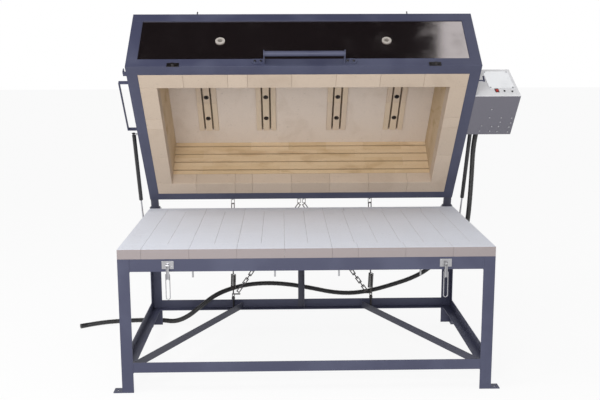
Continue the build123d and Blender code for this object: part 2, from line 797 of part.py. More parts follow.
def clevis(s):
    """Two cheeks with a pin through the eye, a bridge over it and a stem to the spring."""
    x = s * eye_x
    for side in (-1, 1):
        block((x + side * 4, x + side * 8), (-8, 28), (-7, 7))
    block((x - 8, x + 8), (20, 28), (-7, 7))
    rod((x - 10, 0, 0), (x + 10, 0, 0), clevis_pin)
    rod((x, 24, 0), (x - s * (slant_foot_offset + 12), 24, 0), 4)
    rod((x, 28, 0), (x, spring_span[0], 0), 4)


for side_name, s in (("left", -1), ("right", 1)):
    with BuildPart(chain_plane()) as restraint_spring:
        rod((s * eye_x, spring_span[0], 0), (s * eye_x, spring_span[1], 0), spring_radius)
    finish(restraint_spring, f"{side_name}_restraint_spring")

    with BuildPart(chain_plane()) as restraint_chain:
        clevis(s)
        head = chain_length - shackle_drop - link_bar - link_slack
        chain((s * eye_x, spring_span[1] + link_bar + link_slack, 0), (s * eye_x, head, 0))
        chain((s * (eye_x - slant_foot_offset), slant_foot, 0), (s * slant_top_x, head - 4, 0))
        for x in (s * eye_x, s * slant_top_x):
            shackle(x)
    finish(restraint_chain, f"{side_name}_restraint_chain")

with BuildPart(swing(Plane.XY)) as chain_brackets:
    for x in (-eye_x, -slant_top_x, slant_top_x, eye_x):
        block((x - 3, x + 3), (half_y, chain_top[0]), (chain_top[1] - 13, chain_top[1] + 7))
        rod((x - 3, *chain_top), (x + 3, *chain_top), 14)
        rod((x - 4, *chain_top), (x + 4, *chain_top), hook_play, Mode.SUBTRACT)
finish(chain_brackets, "chain_brackets")

# Control box on the right side of the lid, its front panel leaning back
box_x = (half_x, 1152.0)
box_mid = (box_x[0] + box_x[1]) / 2
box_rear = -19.0
box_front = -311.0
box_z = (rim_z + 4.0, rim_z + 300.0)
panel_lean = 15.0
panel_sheet = 2.0
lean = tan(radians(panel_lean))
box_tall = box_z[1] - box_z[0]
panel_tall = box_tall / cos(radians(panel_lean))
front_low = box_front + panel_sheet / cos(radians(panel_lean))
front_high = front_low + box_tall * lean
panel_plane = Plane(
    origin=(box_mid, box_front, box_z[0]),
    x_dir=(1, 0, 0),
    z_dir=(0, -cos(radians(panel_lean)), sin(radians(panel_lean))),
)
with BuildPart() as control_box:
    with BuildSketch(swing(side_plane(box_x[0]))):
        Polygon(
            (box_rear, box_z[0]),
            (front_low, box_z[0]),
            (front_high, box_z[1]),
            (box_rear, box_z[1]),
            align=None,
        )
    extrude(amount=box_x[1] - box_x[0])
    with BuildSketch(swing(side_plane(box_x[0] + sheet))):
        Polygon(
            (box_rear - sheet, box_z[0] + sheet),
            (front_low + sheet * lean - 5, box_z[0] + sheet),
            (front_high - sheet * lean - 5, box_z[1] - sheet),
            (box_rear - sheet, box_z[1] - sheet),
            align=None,
        )
    extrude(amount=box_x[1] - box_x[0] - 2 * sheet, mode=Mode.SUBTRACT)
finish(control_box, "control_box")

rocker_place = (1035.0 - box_mid, 60.0)
lamp_place = (1074.0 - box_mid, 53.0)
fuse_place = (1115.0 - box_mid, 47.0)
rocker_size = (13.0, 30.0)
with BuildPart(swing(panel_plane)) as control_panel:
    with Locations((0, panel_tall / 2, -panel_sheet / 2)):
        Box(box_x[1] - box_x[0], panel_tall, panel_sheet)
    with Locations((*rocker_place, -panel_sheet / 2)):
        Box(rocker_size[0] + 4, rocker_size[1] + 4, panel_sheet, mode=Mode.SUBTRACT)
finish(control_panel, "control_panel")

plate_place = (1068.5 - box_mid, 181.5)
plate_size = (138.0, 196.0)
plate_screw = (121.0, 179.0)
with BuildPart(swing(panel_plane)) as controller_plate:
    with Locations((*plate_place, 1)):
        Box(*plate_size, 2)
finish(controller_plate, "controller_plate")

with BuildPart(swing(panel_plane)) as controller_screws:
    with Locations((*plate_place, 2)):
        with GridLocations(*plate_screw, 2, 2):
            Cylinder(4.5, 2.5, align=(Align.CENTER, Align.CENTER, Align.MIN))
finish(controller_screws, "controller_screws")

with BuildPart(swing(panel_plane)) as panel_fittings:
    with Locations((*rocker_place, 1)):
        Box(rocker_size[0] + 8, rocker_size[1] + 8, 2)
        Box(rocker_size[0] + 1, rocker_size[1] + 1, 2, mode=Mode.SUBTRACT)
    with Locations((*lamp_place, 2)):
        Box(8, 12, 4)
    with Locations((*fuse_place, 0)):
        Cylinder(5, 5, align=(Align.CENTER, Align.CENTER, Align.MIN))
finish(panel_fittings, "panel_fittings")

with BuildPart(swing(panel_plane)) as power_rocker:
    with Locations(Plane(origin=(*rocker_place, 0), z_dir=(1, 0, 0))):
        Cylinder(8, rocker_size[0])
    with Locations((*rocker_place, -2)):
        Box(rocker_size[0], rocker_size[1] - 4, 6)
    with Locations((rocker_place[0], rocker_place[1], -8)):
        Box(rocker_size[0], 12, 8)
finish(power_rocker, "power_rocker")

# Conduit with its gland, clip and end fitting
conduit_radius = 14.0
gland_x = 978.0
gland_z = rim_z + 65.0
gland_reach = 40.0
with BuildPart(swing(Plane.XY)) as conduit_gland:
    base = (gland_x, box_rear, gland_z)
    with Locations(Plane(origin=base, z_dir=(0, 1, 0))):
        Cylinder(21, 6, align=(Align.CENTER, Align.CENTER, Align.MIN))
        Cylinder(16.5, gland_reach, align=(Align.CENTER, Align.CENTER, Align.MIN))
    with BuildSketch(swing(Plane(origin=(gland_x, box_rear + 18, gland_z), z_dir=(0, 1, 0)))):
        RegularPolygon(20, 6)
    extrude(amount=15)
finish(conduit_gland, "conduit_gland")

gland_mouth = opened(box_rear + gland_reach, gland_z)
gland_out = opened(box_rear + gland_reach + 100.0, gland_z)
route = [
    (gland_x, *gland_mouth),
    (gland_x, *gland_out),
    (980, 372, 935),
    (981, 405, 770),
    (985, 460, 650),
    (985, 535, 545),
    (915, 590, 445),
    (835, 602, 365),
    (760, 590, 305),
    (670, 580, 262),
    (565, 577, 228),
    (440, 577, 192),
    (310, 577, 172),
    (185, 577, 180),
    (62, 577, 208),
    (-80, 577, 234),
    (-210, 575, 244),
    (-335, 572, 236),
    (-440, 558, 214),
    (-530, 478, 196),
    (-610, 440, 140),
    (-690, 462, 70),
    (-775, 530, 16.5),
    (-860, 572, 14),
    (-960, 577, 14),
    (-1060, 570, 14),
    (-1150, 556, 14),
    (-1235, 530, 14),
    (-1305, 488, 14),
]


def bend_radii(points):
    """Radius of the arc at each inner point: as large as its two runs allow."""
    radii = []
    for a, b, c in zip(points, points[1:], points[2:]):
        before, after = Vector(*b) - Vector(*a), Vector(*c) - Vector(*b)
        turn = radians(before.get_angle(after))
        radii.append(0.45 * min(before.length, after.length) / tan(turn / 2))
    return radii


conduit_bends = bend_radii(route)
with BuildPart() as conduit:
    with BuildLine() as conduit_line:
        FilletPolyline(*route, radius=conduit_bends)
    with BuildSketch(Plane(origin=route[0], z_dir=Vector(*route[1]) - Vector(*route[0]))):
        Circle(conduit_radius)
    sweep(path=conduit_line.line)
finish(conduit, "conduit")
print("bend radii", [round(r) for r in conduit_bends])
conduit_length = conduit_line.wires()[0].length
print("conduit length", round(conduit_length, 1))
print("volume ratio", round(conduit.part.volume / (pi * conduit_radius**2 * conduit_length), 5))

clip_leg = Vector(880.0, half_y, 440.0)
clip_run = (Vector(*route[7]) - Vector(*route[6])).normalized()
clip_middle = (Vector(*route[6]) + Vector(*route[7])) * 0.5
clip_wall = 3.0
with BuildPart() as conduit_clip:
    band = Plane(origin=clip_middle - clip_run * 9, z_dir=clip_run)
    with BuildSketch(band):
        Circle(conduit_radius + 0.2 + clip_wall)
        Circle(conduit_radius + 0.2, mode=Mode.SUBTRACT)
    extrude(amount=18)
    reach = clip_middle - clip_leg
    across = reach - clip_run * reach.dot(clip_run)
    clip_tip = clip_middle - across.normalized() * (conduit_radius + 2.2)
    rod(tuple(clip_leg + Vector(0, 3.5, 0)), tuple(clip_tip), 4)
    rod(tuple(clip_leg), tuple(clip_leg + Vector(0, 5, 0)), 12)
finish(conduit_clip, "conduit_clip")

end_dir = (Vector(*route[-1]) - Vector(*route[-2])).normalized()
fitting_length = 38.0
with BuildPart(Plane(origin=route[-1], z_dir=end_dir)) as conduit_fitting:
    Cylinder(conduit_radius, fitting_length, align=(Align.CENTER, Align.CENTER, Align.MIN))
finish(conduit_fitting, "conduit_fitting")
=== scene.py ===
# %% [markdown]
# # A clamshell glass fusing kiln
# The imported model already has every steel, brick and moving part at its real size. This lesson adds
# what makes them look real: rounded edges, coils, a ribbed conduit, weld beads, screws and finishes.

import json
import math
import random

import bmesh
import bpy
from mathutils import Matrix, Vector


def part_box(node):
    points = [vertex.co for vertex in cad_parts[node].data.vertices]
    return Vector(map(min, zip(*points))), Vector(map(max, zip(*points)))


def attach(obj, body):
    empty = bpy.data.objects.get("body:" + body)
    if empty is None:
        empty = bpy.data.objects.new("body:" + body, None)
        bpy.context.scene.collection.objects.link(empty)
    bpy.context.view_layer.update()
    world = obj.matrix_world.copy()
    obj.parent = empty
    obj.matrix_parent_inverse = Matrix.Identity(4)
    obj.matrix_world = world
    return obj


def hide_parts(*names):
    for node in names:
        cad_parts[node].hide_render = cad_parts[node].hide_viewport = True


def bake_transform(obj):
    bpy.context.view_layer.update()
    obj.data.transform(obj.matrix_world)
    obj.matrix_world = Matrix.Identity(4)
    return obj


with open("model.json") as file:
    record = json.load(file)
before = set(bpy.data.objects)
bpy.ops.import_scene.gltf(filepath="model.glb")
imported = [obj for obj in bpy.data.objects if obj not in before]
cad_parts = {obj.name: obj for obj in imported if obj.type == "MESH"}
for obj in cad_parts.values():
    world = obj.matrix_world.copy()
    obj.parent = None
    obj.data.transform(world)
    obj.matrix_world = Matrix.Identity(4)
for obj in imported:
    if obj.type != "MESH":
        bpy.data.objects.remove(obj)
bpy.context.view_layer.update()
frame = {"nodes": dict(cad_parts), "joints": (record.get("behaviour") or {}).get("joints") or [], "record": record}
bpy.ops.object.select_all(action="DESELECT")
print("loaded", len(frame["nodes"]), "nodes")

# %% [markdown]
# ## Shader maths as expressions
# A finish is easier to read as a formula than as a list of links. One small class wraps a socket,
# so that a sum or a product of two sockets adds its own Math node.


# %% The shader helper
class Sock:
    """A socket that adds Math nodes when it is used in an expression."""

    def __init__(self, tree, out):
        self.tree, self.out = tree, out

    def math(self, operation, *values):
        node = self.tree.nodes.new("ShaderNodeMath")
        node.operation = operation
        for socket, value in zip(node.inputs, values):
            if isinstance(value, Sock):
                self.tree.links.new(value.out, socket)
            else:
                socket.default_value = value
        return Sock(self.tree, node.outputs[0])

    def __add__(self, other):
        return self.math("ADD", self, other)

    def __sub__(self, other):
        return self.math("SUBTRACT", self, other)

    def __rsub__(self, other):
        return self.math("SUBTRACT", other, self)

    def __mul__(self, other):
        return self.math("MULTIPLY", self, other)

    __radd__ = __add__
    __rmul__ = __mul__


class Finish:
    """A material being built: makes nodes, and sets the sockets of its surface shader."""

    def __init__(self, name, metallic=0.0, rough=0.5):
        self.material = bpy.data.materials.new(name)
        self.material.use_nodes = True
        self.tree = self.material.node_tree
        self.shader = self.tree.nodes["Principled BSDF"]
        self.shader.inputs["Metallic"].default_value = metallic
        self.shader.inputs["Roughness"].default_value = rough
        self.place = self.tree.nodes.new("ShaderNodeTexCoord").outputs["Object"]

    def node(self, kind, output=0, settings=None, **values):
        node = self.tree.nodes.new(kind)
        for key, value in (settings or {}).items():
            setattr(node, key, value)
        for key, value in values.items():
            socket = node.inputs[key.replace("_", " ")]
            if isinstance(value, Sock):
                self.tree.links.new(value.out, socket)
            else:
                socket.default_value = value
        return Sock(self.tree, node.outputs[output])

    def noise(self, scale, detail=3.0, stretch=(1, 1, 1), distortion=0.0):
        mapping = self.tree.nodes.new("ShaderNodeMapping")
        mapping.inputs["Scale"].default_value = stretch
        self.tree.links.new(self.place, mapping.inputs["Vector"])
        texture = self.tree.nodes.new("ShaderNodeTexNoise")
        texture.inputs["Scale"].default_value = scale
        texture.inputs["Detail"].default_value = detail
        texture.inputs["Distortion"].default_value = distortion
        self.tree.links.new(mapping.outputs[0], texture.inputs["Vector"])
        return Sock(self.tree, texture.outputs["Fac"])

    def step(self, value, low, high):
        """Rise smoothly from 0 to 1 as the value goes from low to high."""
        node = self.tree.nodes.new("ShaderNodeMapRange")
        node.interpolation_type = "SMOOTHSTEP"
        node.inputs["From Min"].default_value = low
        node.inputs["From Max"].default_value = high
        self.tree.links.new(value.out, node.inputs["Value"])
        return Sock(self.tree, node.outputs[0])

    def mix(self, factor, a, b):
        node = self.tree.nodes.new("ShaderNodeMix")
        node.data_type = "RGBA"
        for socket, value in ((node.inputs[0], factor), (node.inputs[6], a), (node.inputs[7], b)):
            if isinstance(value, Sock):
                self.tree.links.new(value.out, socket)
            elif isinstance(value, tuple):
                socket.default_value = (*value, 1.0)
            else:
                socket.default_value = value
        return Sock(self.tree, node.outputs[2])

    def colour(self, value):
        self.tree.links.new(value.out, self.shader.inputs["Base Color"])

    def rough(self, value):
        self.tree.links.new(value.out, self.shader.inputs["Roughness"])

    def bump(self, height, depth, strength=0.6):
        node = self.tree.nodes.new("ShaderNodeBump")
        node.inputs["Distance"].default_value = depth
        node.inputs["Strength"].default_value = strength
        self.tree.links.new(height.out, node.inputs["Height"])
        self.tree.links.new(node.outputs[0], self.shader.inputs["Normal"])


# %% [markdown]
# ## Painted steel, plated steel and polished sheet
# The frame is brushed with slate paint, which dries uneven, so the sheen wanders and dust greys it.
# Plated fasteners are bright metal, and the lid's skin is polished sheet with faint smears.


# %% Steel finishes
def painted(name, base, dust, rough=0.42):
    f = Finish(name, rough=rough)
    cloud = f.step(f.noise(3.5, 5.0), 0.42, 0.66)
    specks = f.step(f.noise(260.0, 2.0), 0.60, 0.72)
    f.colour(f.mix(cloud * 0.45 + specks * 0.12, base, dust))
    f.rough(cloud * 0.18 + rough)
    f.bump(f.noise(420.0, 2.0), 0.0004, 0.35)
    return f.material


def metal(name, base, stain, rough, grain=(1, 1, 1), stain_amount=0.5):
    f = Finish(name, metallic=1.0, rough=rough)
    cloud = f.step(f.noise(7.0, 5.0), 0.45, 0.72)
    streak = f.noise(90.0, 3.0, grain)
    f.colour(f.mix(cloud * stain_amount, base, stain))
    f.rough(cloud * 0.14 + streak * 0.10 + (rough - 0.05))
    f.bump(streak, 0.0002, 0.2)
    return f.material


finishes = {
    "frame_paint": painted("frame_paint", (0.048, 0.052, 0.098), (0.085, 0.093, 0.150)),
    "rear_paint": painted("rear_paint", (0.050, 0.052, 0.078), (0.095, 0.098, 0.135)),
    "box_grey": painted("box_grey", (0.150, 0.145, 0.175), (0.180, 0.175, 0.205)),
    "panel_white": painted("panel_white", (0.86, 0.86, 0.88), (0.78, 0.78, 0.80), 0.35),
    "mirror_sheet": metal("mirror_sheet", (0.46, 0.42, 0.42), (0.38, 0.34, 0.33), 0.10, (1, 12, 12), 0.3),
    "plate_steel": metal("plate_steel", (0.84, 0.85, 0.87), (0.74, 0.75, 0.77), 0.30, (1, 14, 14)),
    "zinc": metal("zinc", (0.46, 0.46, 0.48), (0.30, 0.29, 0.28), 0.28),
    "rod_chrome": metal("rod_chrome", (0.62, 0.62, 0.65), (0.50, 0.50, 0.52), 0.10),
    "black_steel": metal("black_steel", (0.055, 0.052, 0.055), (0.15, 0.13, 0.12), 0.40),
    "element_wire": metal("element_wire", (0.10, 0.075, 0.060), (0.05, 0.04, 0.04), 0.55),
    "strut_black": painted("strut_black", (0.016, 0.016, 0.018), (0.040, 0.040, 0.045), 0.25),
    "fitting_black": painted("fitting_black", (0.020, 0.020, 0.022), (0.040, 0.040, 0.042), 0.45),
    "rocker_red": painted("rocker_red", (0.42, 0.020, 0.014), (0.50, 0.05, 0.03), 0.28),
    "conduit_black": painted("conduit_black", (0.016, 0.016, 0.018), (0.050, 0.048, 0.046), 0.38),
}
print("steel finishes", len(finishes))

# %% [markdown]
# ## Firebrick and fibre
# Insulating firebrick is full of fine pores and every brick fires to its own tint. The pores are a
# fine noise that dents the face and darkens it as painted shade. The tint comes from a number that each brick
# carries.


# %% Brick finishes
def firebrick(name, light, dark, stain, stain_amount=0.5, stretch=(1, 1, 1), warp=0.6, side_shade=None):
    """Porous brick; the optional side colour is for its upright faces, painted darker than the tops as painted
    shade.
    """
    f = Finish(name, rough=0.92)
    tint = f.node("ShaderNodeAttribute", output=2, settings={"attribute_name": "tint"})
    cloud = f.noise(5.0, 6.0, stretch, warp)
    pores = f.step(f.noise(330.0, 2.0), 0.57, 0.70)
    pits = f.step(f.noise(85.0, 3.0), 0.66, 0.74)
    body = f.mix(tint * 0.65 + cloud * 0.35, light, dark)
    body = f.mix(f.step(cloud, 0.50, 0.72) * stain_amount, body, stain)
    # Painted shade: upright faces take the darker side colour, while the tops keep the lighter colours as painted
    # top light.
    if side_shade:
        normal = f.node("ShaderNodeTexCoord", output=1)
        facing = f.node("ShaderNodeSeparateXYZ", output=2, Vector=normal)
        body = f.mix(f.step(facing, 0.3, 0.8), side_shade, body)
    # Painted shade: pores and pits take a darker copy of the brick colour.
    shade = tuple(c * 0.45 for c in dark)
    f.colour(f.mix(pores * 0.28 + pits * 0.35, body, shade))
    f.bump(1 - pores * 0.5 - pits, 0.0015, 0.5)
    return f.material


cream = (0.60, 0.49, 0.39)
finishes["rim_brick"] = firebrick("rim_brick", cream, (0.51, 0.41, 0.32), (0.42, 0.32, 0.24), 0.30)
finishes["wall_brick"] = firebrick(
    "wall_brick", (0.70, 0.54, 0.36), (0.60, 0.44, 0.26), (0.40, 0.25, 0.12), 0.45, (1, 3, 3)
)
finishes["side_brick"] = firebrick(
    "side_brick", (0.64, 0.51, 0.35), (0.53, 0.40, 0.25), (0.40, 0.26, 0.12), 0.55, (1, 1, 3)
)
finishes["holder_brick"] = firebrick("holder_brick", cream, (0.66, 0.54, 0.40), (0.50, 0.42, 0.30), 0.3)
# The bed tops are painted pale and bluish as painted top light; the last colour paints their upright faces darker
# as painted shade.
finishes["bed_brick"] = firebrick(
    "bed_brick", (0.73, 0.755, 0.83), (0.71, 0.735, 0.805), (0.66, 0.67, 0.72), 0.25, (1, 0.4, 1), 0.6,
    (0.31, 0.27, 0.27)
)
finishes["roof_fibre"] = firebrick(
    "roof_fibre", (0.70, 0.61, 0.53), (0.65, 0.56, 0.48), (0.56, 0.46, 0.37), 0.35, (1.6, 1, 1), 1.0
)
finishes["wool_fibre"] = firebrick("wool_fibre", (0.80, 0.79, 0.76), (0.72, 0.70, 0.66), (0.6, 0.58, 0.54))
# The peephole sleeves are darker than the other ceramics: painted shade that stands in for the dark inside of each
# hole.
finishes["sleeve_ceramic"] = firebrick(
    "sleeve_ceramic", (0.42, 0.39, 0.36), (0.32, 0.29, 0.26), (0.2, 0.16, 0.13)
)

slot_of = {s["node"]: s["material_slot"] for s in frame["record"]["subparts"]}
for name, obj in frame["nodes"].items():
    for k in range(max(1, len(obj.material_slots))):
        if not obj.material_slots:
            obj.data.materials.append(None)
        obj.material_slots[k].material = finishes[slot_of[name]]
print("brick finishes given to", len(frame["nodes"]), "nodes")

# %% [markdown]
# ## Soft edges
# No brick or steel angle has a razor edge, and the light on a rounded edge is what makes an edge
# read. Each hard node is copied, its loose triangles are merged and a Bevel modifier rounds it.
# Weighted normals keep the faces flat between the edges. Each brick then gets its own tint.

# %% Round the edges of copies
body_of = {n: b for b, names in frame["record"]["behaviour"]["bodies"].items() for n in names}


def activate(obj):
    bpy.ops.object.select_all(action="DESELECT")
    obj.select_set(True)
    bpy.context.view_layer.objects.active = obj


def set_finish(piece, slot, body):
    piece.data.materials.clear()
    piece.data.materials.append(finishes[slot])
    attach(piece, body)


def linked_groups(mesh):
    """Yield the vertices of each separate solid of a mesh."""
    seen = set()
    for start in mesh.verts:
        if start in seen:
            continue
        group, stack = [], [start]
        seen.add(start)
        while stack:
            vert = stack.pop()
            group.append(vert)
            for edge in vert.link_edges:
                other = edge.other_vert(vert)
                if other not in seen:
                    seen.add(other)
                    stack.append(other)
        yield group


def tint_islands(piece, seed):
    """Give every separate brick of a piece a random number between 0 and 1."""
    rng = random.Random(seed)
    mesh = bmesh.new()
    mesh.from_mesh(piece.data)
    layer = mesh.verts.layers.float.new("tint")
    for group in linked_groups(mesh):
        tint = rng.random()
        for vert in group:
            vert[layer] = tint
    mesh.to_mesh(piece.data)
    mesh.free()


def soften(node, width, segments=2, tint=False):
    """Stand a round-edged copy in for a node."""
    source = frame["nodes"][node]
    piece = source.copy()
    piece.data = source.data.copy()
    piece.name = node + "_soft"
    bpy.context.collection.objects.link(piece)
    activate(piece)
    bpy.ops.object.mode_set(mode="EDIT")
    bpy.ops.mesh.select_all(action="SELECT")
    bpy.ops.mesh.remove_doubles(threshold=0.00001)
    bpy.ops.mesh.dissolve_limited(angle_limit=math.radians(1))
    bpy.ops.object.mode_set(mode="OBJECT")
    bevel = piece.modifiers.new("edges", "BEVEL")
    bevel.width, bevel.segments = width, segments
    bevel.limit_method, bevel.angle_limit = "ANGLE", math.radians(40)
    bpy.ops.object.modifier_apply(modifier="edges")
    bpy.ops.object.shade_smooth_by_angle(angle=math.radians(35))
    even = piece.modifiers.new("flat_faces", "WEIGHTED_NORMAL")
    even.keep_sharp = True
    bpy.ops.object.modifier_apply(modifier="flat_faces")
    if tint:
        tint_islands(piece, len(node))
    set_finish(piece, slot_of[node], body_of[node])
    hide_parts(node)


ground_edge, worn_edge, rolled_edge, link_edge = 0.0007, 0.0016, 0.0012, 0.0018
soften("bed_bricks", ground_edge, tint=True)
for node in ("lid_rim_bricks", "lid_rear_bricks", "lid_front_bricks", "lid_side_bricks"):
    soften(node, worn_edge, tint=True)
soften("ceiling_holders", rolled_edge, tint=True)
for node in (
    "stand_legs", "bed_frame", "lower_rails", "lid_rim_frame", "lid_top_frame", "lid_corner_posts"
):
    soften(node, rolled_edge)
for node in ("lower_braces", "foot_plates", "control_box", "controller_plate", "latch_bases"):
    soften(node, ground_edge)
for node in ("left_restraint_chain", "right_restraint_chain"):
    soften(node, link_edge)
print("softened the hard edges")

# %% [markdown]
# ## Coils
# Each heating element is a long coil of resistance wire that lies in its groove, and each restraint
# has a short steel spring. A coil is one small circle of wire swept by the Screw modifier.


# %% Element coils and springs
def close_ends(piece):
    """Fill the open rims of a swept tube and turn its faces outward."""
    activate(piece)
    bpy.ops.object.mode_set(mode="EDIT")
    bpy.ops.mesh.select_all(action="DESELECT")
    bpy.ops.mesh.select_non_manifold()
    bpy.ops.mesh.edge_face_add()
    bpy.ops.mesh.select_all(action="SELECT")
    bpy.ops.mesh.normals_make_consistent(inside=False)
    bpy.ops.object.mode_set(mode="OBJECT")


def coil(name, start, end, radius, wire, pitch, steps, sides, slot, body):
    """Sweep a circle of wire into a coil between two points."""
    start, end = Vector(start), Vector(end)
    run = (end - start).length
    turns = max(1, round((run - 2 * wire) / pitch))
    bpy.ops.object.select_all(action="DESELECT")
    bpy.ops.mesh.primitive_circle_add(
        vertices=sides, radius=wire, location=(radius - wire, 0, wire), rotation=(math.pi / 2, 0, 0)
    )
    piece = bpy.context.object
    piece.name = name
    bpy.ops.object.transform_apply(location=True, rotation=True, scale=True)
    screw = piece.modifiers.new("coil", "SCREW")
    screw.axis, screw.angle = "Z", 2 * math.pi
    screw.screw_offset = (run - 2 * wire) / turns
    screw.iterations = turns
    screw.steps = screw.render_steps = steps
    screw.use_merge_vertices = False
    bpy.ops.object.modifier_apply(modifier="coil")
    close_ends(piece)
    turn = (end - start).to_track_quat("Z", "Y").to_matrix().to_4x4()
    piece.data.transform(Matrix.Translation(start) @ turn)
    bpy.ops.object.shade_smooth_by_angle(angle=math.radians(60))
    set_finish(piece, slot, body)
    return piece


def islands(node):
    """Points of each separate solid of a node."""
    mesh = bmesh.new()
    mesh.from_mesh(frame["nodes"][node].data)
    bmesh.ops.remove_doubles(mesh, verts=mesh.verts, dist=1e-5)
    groups = [[vert.co.copy() for vert in group] for group in linked_groups(mesh)]
    mesh.free()
    return groups


def bar_ends(points):
    """Middle of each end of a round bar, from its points."""
    far = max(points, key=lambda p: (p - points[0]).length)
    near = max(points, key=lambda p: (p - far).length)
    along = (far - near).normalized()
    high = max(p.dot(along) for p in points)
    low = min(p.dot(along) for p in points)
    top = [p for p in points if p.dot(along) > high - 0.004]
    foot = [p for p in points if p.dot(along) < low + 0.004]
    return sum(foot, Vector()) / len(foot), sum(top, Vector()) / len(top)


element_shape = {"radius": 0.0046, "wire": 0.0008, "pitch": 0.0085, "steps": 9, "sides": 5}
spring_shape = {"radius": 0.016, "wire": 0.0021, "pitch": 0.0062, "steps": 20, "sides": 8}
elements = [
    coil(f"element_coil_{k}", *bar_ends(points), **element_shape, slot="element_wire", body="lid")
    for k, points in enumerate(islands("heating_elements"))
]
for piece in elements:
    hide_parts("heating_elements")
for side in ("left", "right"):
    ends = bar_ends(islands(f"{side}_restraint_spring")[0])
    spring = coil(
        f"{side}_spring_coil", *ends, **spring_shape, slot="black_steel", body=f"{side}_restraint"
    )
    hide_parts(f"{side}_restraint_spring")
print("element coils", len(elements))

# %% [markdown]
# ## The ribbed conduit
# The supply leaves the box in a black corrugated conduit. One rib is modelled, an array repeats it
# at full length, and a Curve modifier bends the straight tube along the route.

# %% Conduit route
millimetre = 0.001
route = [
    (978, 282.3, 1195.6), (978, 347.0, 1119.4), (980, 372, 935), (981, 405, 770), (985, 460, 650),
    (985, 535, 545), (915, 590, 445), (835, 602, 365), (760, 590, 305), (670, 580, 262),
    (565, 577, 228), (440, 577, 192), (310, 577, 172), (185, 577, 180), (62, 577, 208),
    (-80, 577, 234), (-210, 575, 244), (-335, 572, 236), (-440, 558, 214), (-530, 478, 196),
    (-610, 440, 140), (-690, 462, 70), (-775, 530, 16.5), (-860, 572, 14), (-960, 577, 14),
    (-1060, 570, 14), (-1150, 556, 14), (-1235, 530, 14), (-1305, 488, 14),
]
line = bpy.data.curves.new("conduit_route", "CURVE")
line.dimensions = "3D"
spline = line.splines.new("NURBS")
spline.points.add(len(route) - 1)
for point, place in zip(spline.points, route):
    point.co = (*(c * millimetre for c in place), 1)
spline.order_u = 3
spline.use_endpoint_u = True
line.resolution_u = 12
line_obj = bpy.data.objects.new("conduit_route", line)
bpy.context.collection.objects.link(line_obj)
read = bpy.data.meshes.new_from_object(line_obj)
path = [v.co.copy() for v in read.vertices]
conduit_length = sum((b - a).length for a, b in zip(path, path[1:]))
print("conduit length", round(conduit_length, 3))

# %% Rib, array and bend
conduit_radius, valley_radius, rib_spacing = 0.014, 0.014 - 0.0022, 0.008
rib_count = round(conduit_length / rib_spacing)
rib_pitch = conduit_length / rib_count
bpy.ops.object.select_all(action="DESELECT")
bpy.ops.mesh.primitive_circle_add(vertices=20, radius=valley_radius, rotation=(0, math.pi / 2, 0))
conduit = bpy.context.object
conduit.name = "conduit_ribbed"
bpy.ops.object.transform_apply(location=True, rotation=True, scale=True)
bpy.ops.object.mode_set(mode="EDIT")
crest = conduit_radius / valley_radius
for share, size in ((0.25, crest), (0.35, 1.0), (0.25, 1 / crest), (0.15, 1.0)):
    bpy.ops.mesh.extrude_region_move(TRANSFORM_OT_translate={"value": (rib_pitch * share, 0, 0)})
    bpy.ops.transform.resize(value=(1, size, size))
bpy.ops.object.mode_set(mode="OBJECT")
array = conduit.modifiers.new("ribs", "ARRAY")
array.count = rib_count
array.use_relative_offset = False
array.use_constant_offset = True
array.constant_offset_displace = (rib_pitch, 0, 0)
array.use_merge_vertices = True
array.merge_threshold = 0.0001
bpy.ops.object.modifier_apply(modifier="ribs")
bend = conduit.modifiers.new("bend", "CURVE")
bend.object = line_obj
bend.deform_axis = "POS_X"
bpy.ops.object.modifier_apply(modifier="bend")
close_ends(conduit)
bpy.ops.object.shade_smooth_by_angle(angle=math.radians(60))
bpy.data.objects.remove(line_obj)
conduit.data.materials.clear()
conduit.data.materials.append(finishes["conduit_black"])
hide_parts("conduit")
tuple(path[0])
[tuple(p) for p in path]
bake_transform(conduit)
print("conduit ribs", rib_count)

# %% [markdown]
# ## Weld beads and screws
# The frame is welded, and its seams show as low rippled beads. A bead is a row of flattened drops,
# modelled once and repeated. Bright screw heads hold the box's parts from below.


# %% Beads
bead_radius, bead_step = 0.0032, 0.0036


def bead(name, start, end, body, slot):
    """Lay a row of drops from start to end."""
    start, end = Vector(start), Vector(end)
    run = (end - start).length
    bpy.ops.object.select_all(action="DESELECT")
    bpy.ops.mesh.primitive_uv_sphere_add(segments=8, ring_count=6, radius=bead_radius)
    piece = bpy.context.object
    piece.name = name
    bpy.ops.object.mode_set(mode="EDIT")
    bpy.ops.mesh.select_all(action="SELECT")
    bpy.ops.transform.resize(value=(0.9, 0.7, 1.0))
    bpy.ops.object.mode_set(mode="OBJECT")
    row = piece.modifiers.new("row", "ARRAY")
    row.count = max(2, int(run / bead_step))
    row.use_relative_offset = False
    row.use_constant_offset = True
    row.constant_offset_displace = (0, 0, bead_step)
    bpy.ops.object.modifier_apply(modifier="row")
    turn = (end - start).to_track_quat("Z", "Y").to_matrix().to_4x4()
    piece.data.transform(Matrix.Translation(start) @ turn)
    bpy.ops.object.shade_smooth()
    set_finish(piece, slot, body)


leg_low, leg_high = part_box("stand_legs")
leg_flange, bead_sink = 0.057, 0.0005
seam_x = leg_high[0] - leg_flange
for s in (-1, 1):
    for y in (leg_low[1] + bead_sink, leg_high[1] - bead_sink):
        tag = f"{'left' if s < 0 else 'right'}_{'front' if y < 0 else 'rear'}"
        for weld, rail in (("rail", "bed_frame"), ("low", "lower_rails")):
            low, high = (corner[2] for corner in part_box(rail))
            bead(f"{weld}_weld_{tag}", (s * seam_x, y, low), (s * seam_x, y, high), "stand", "frame_paint")

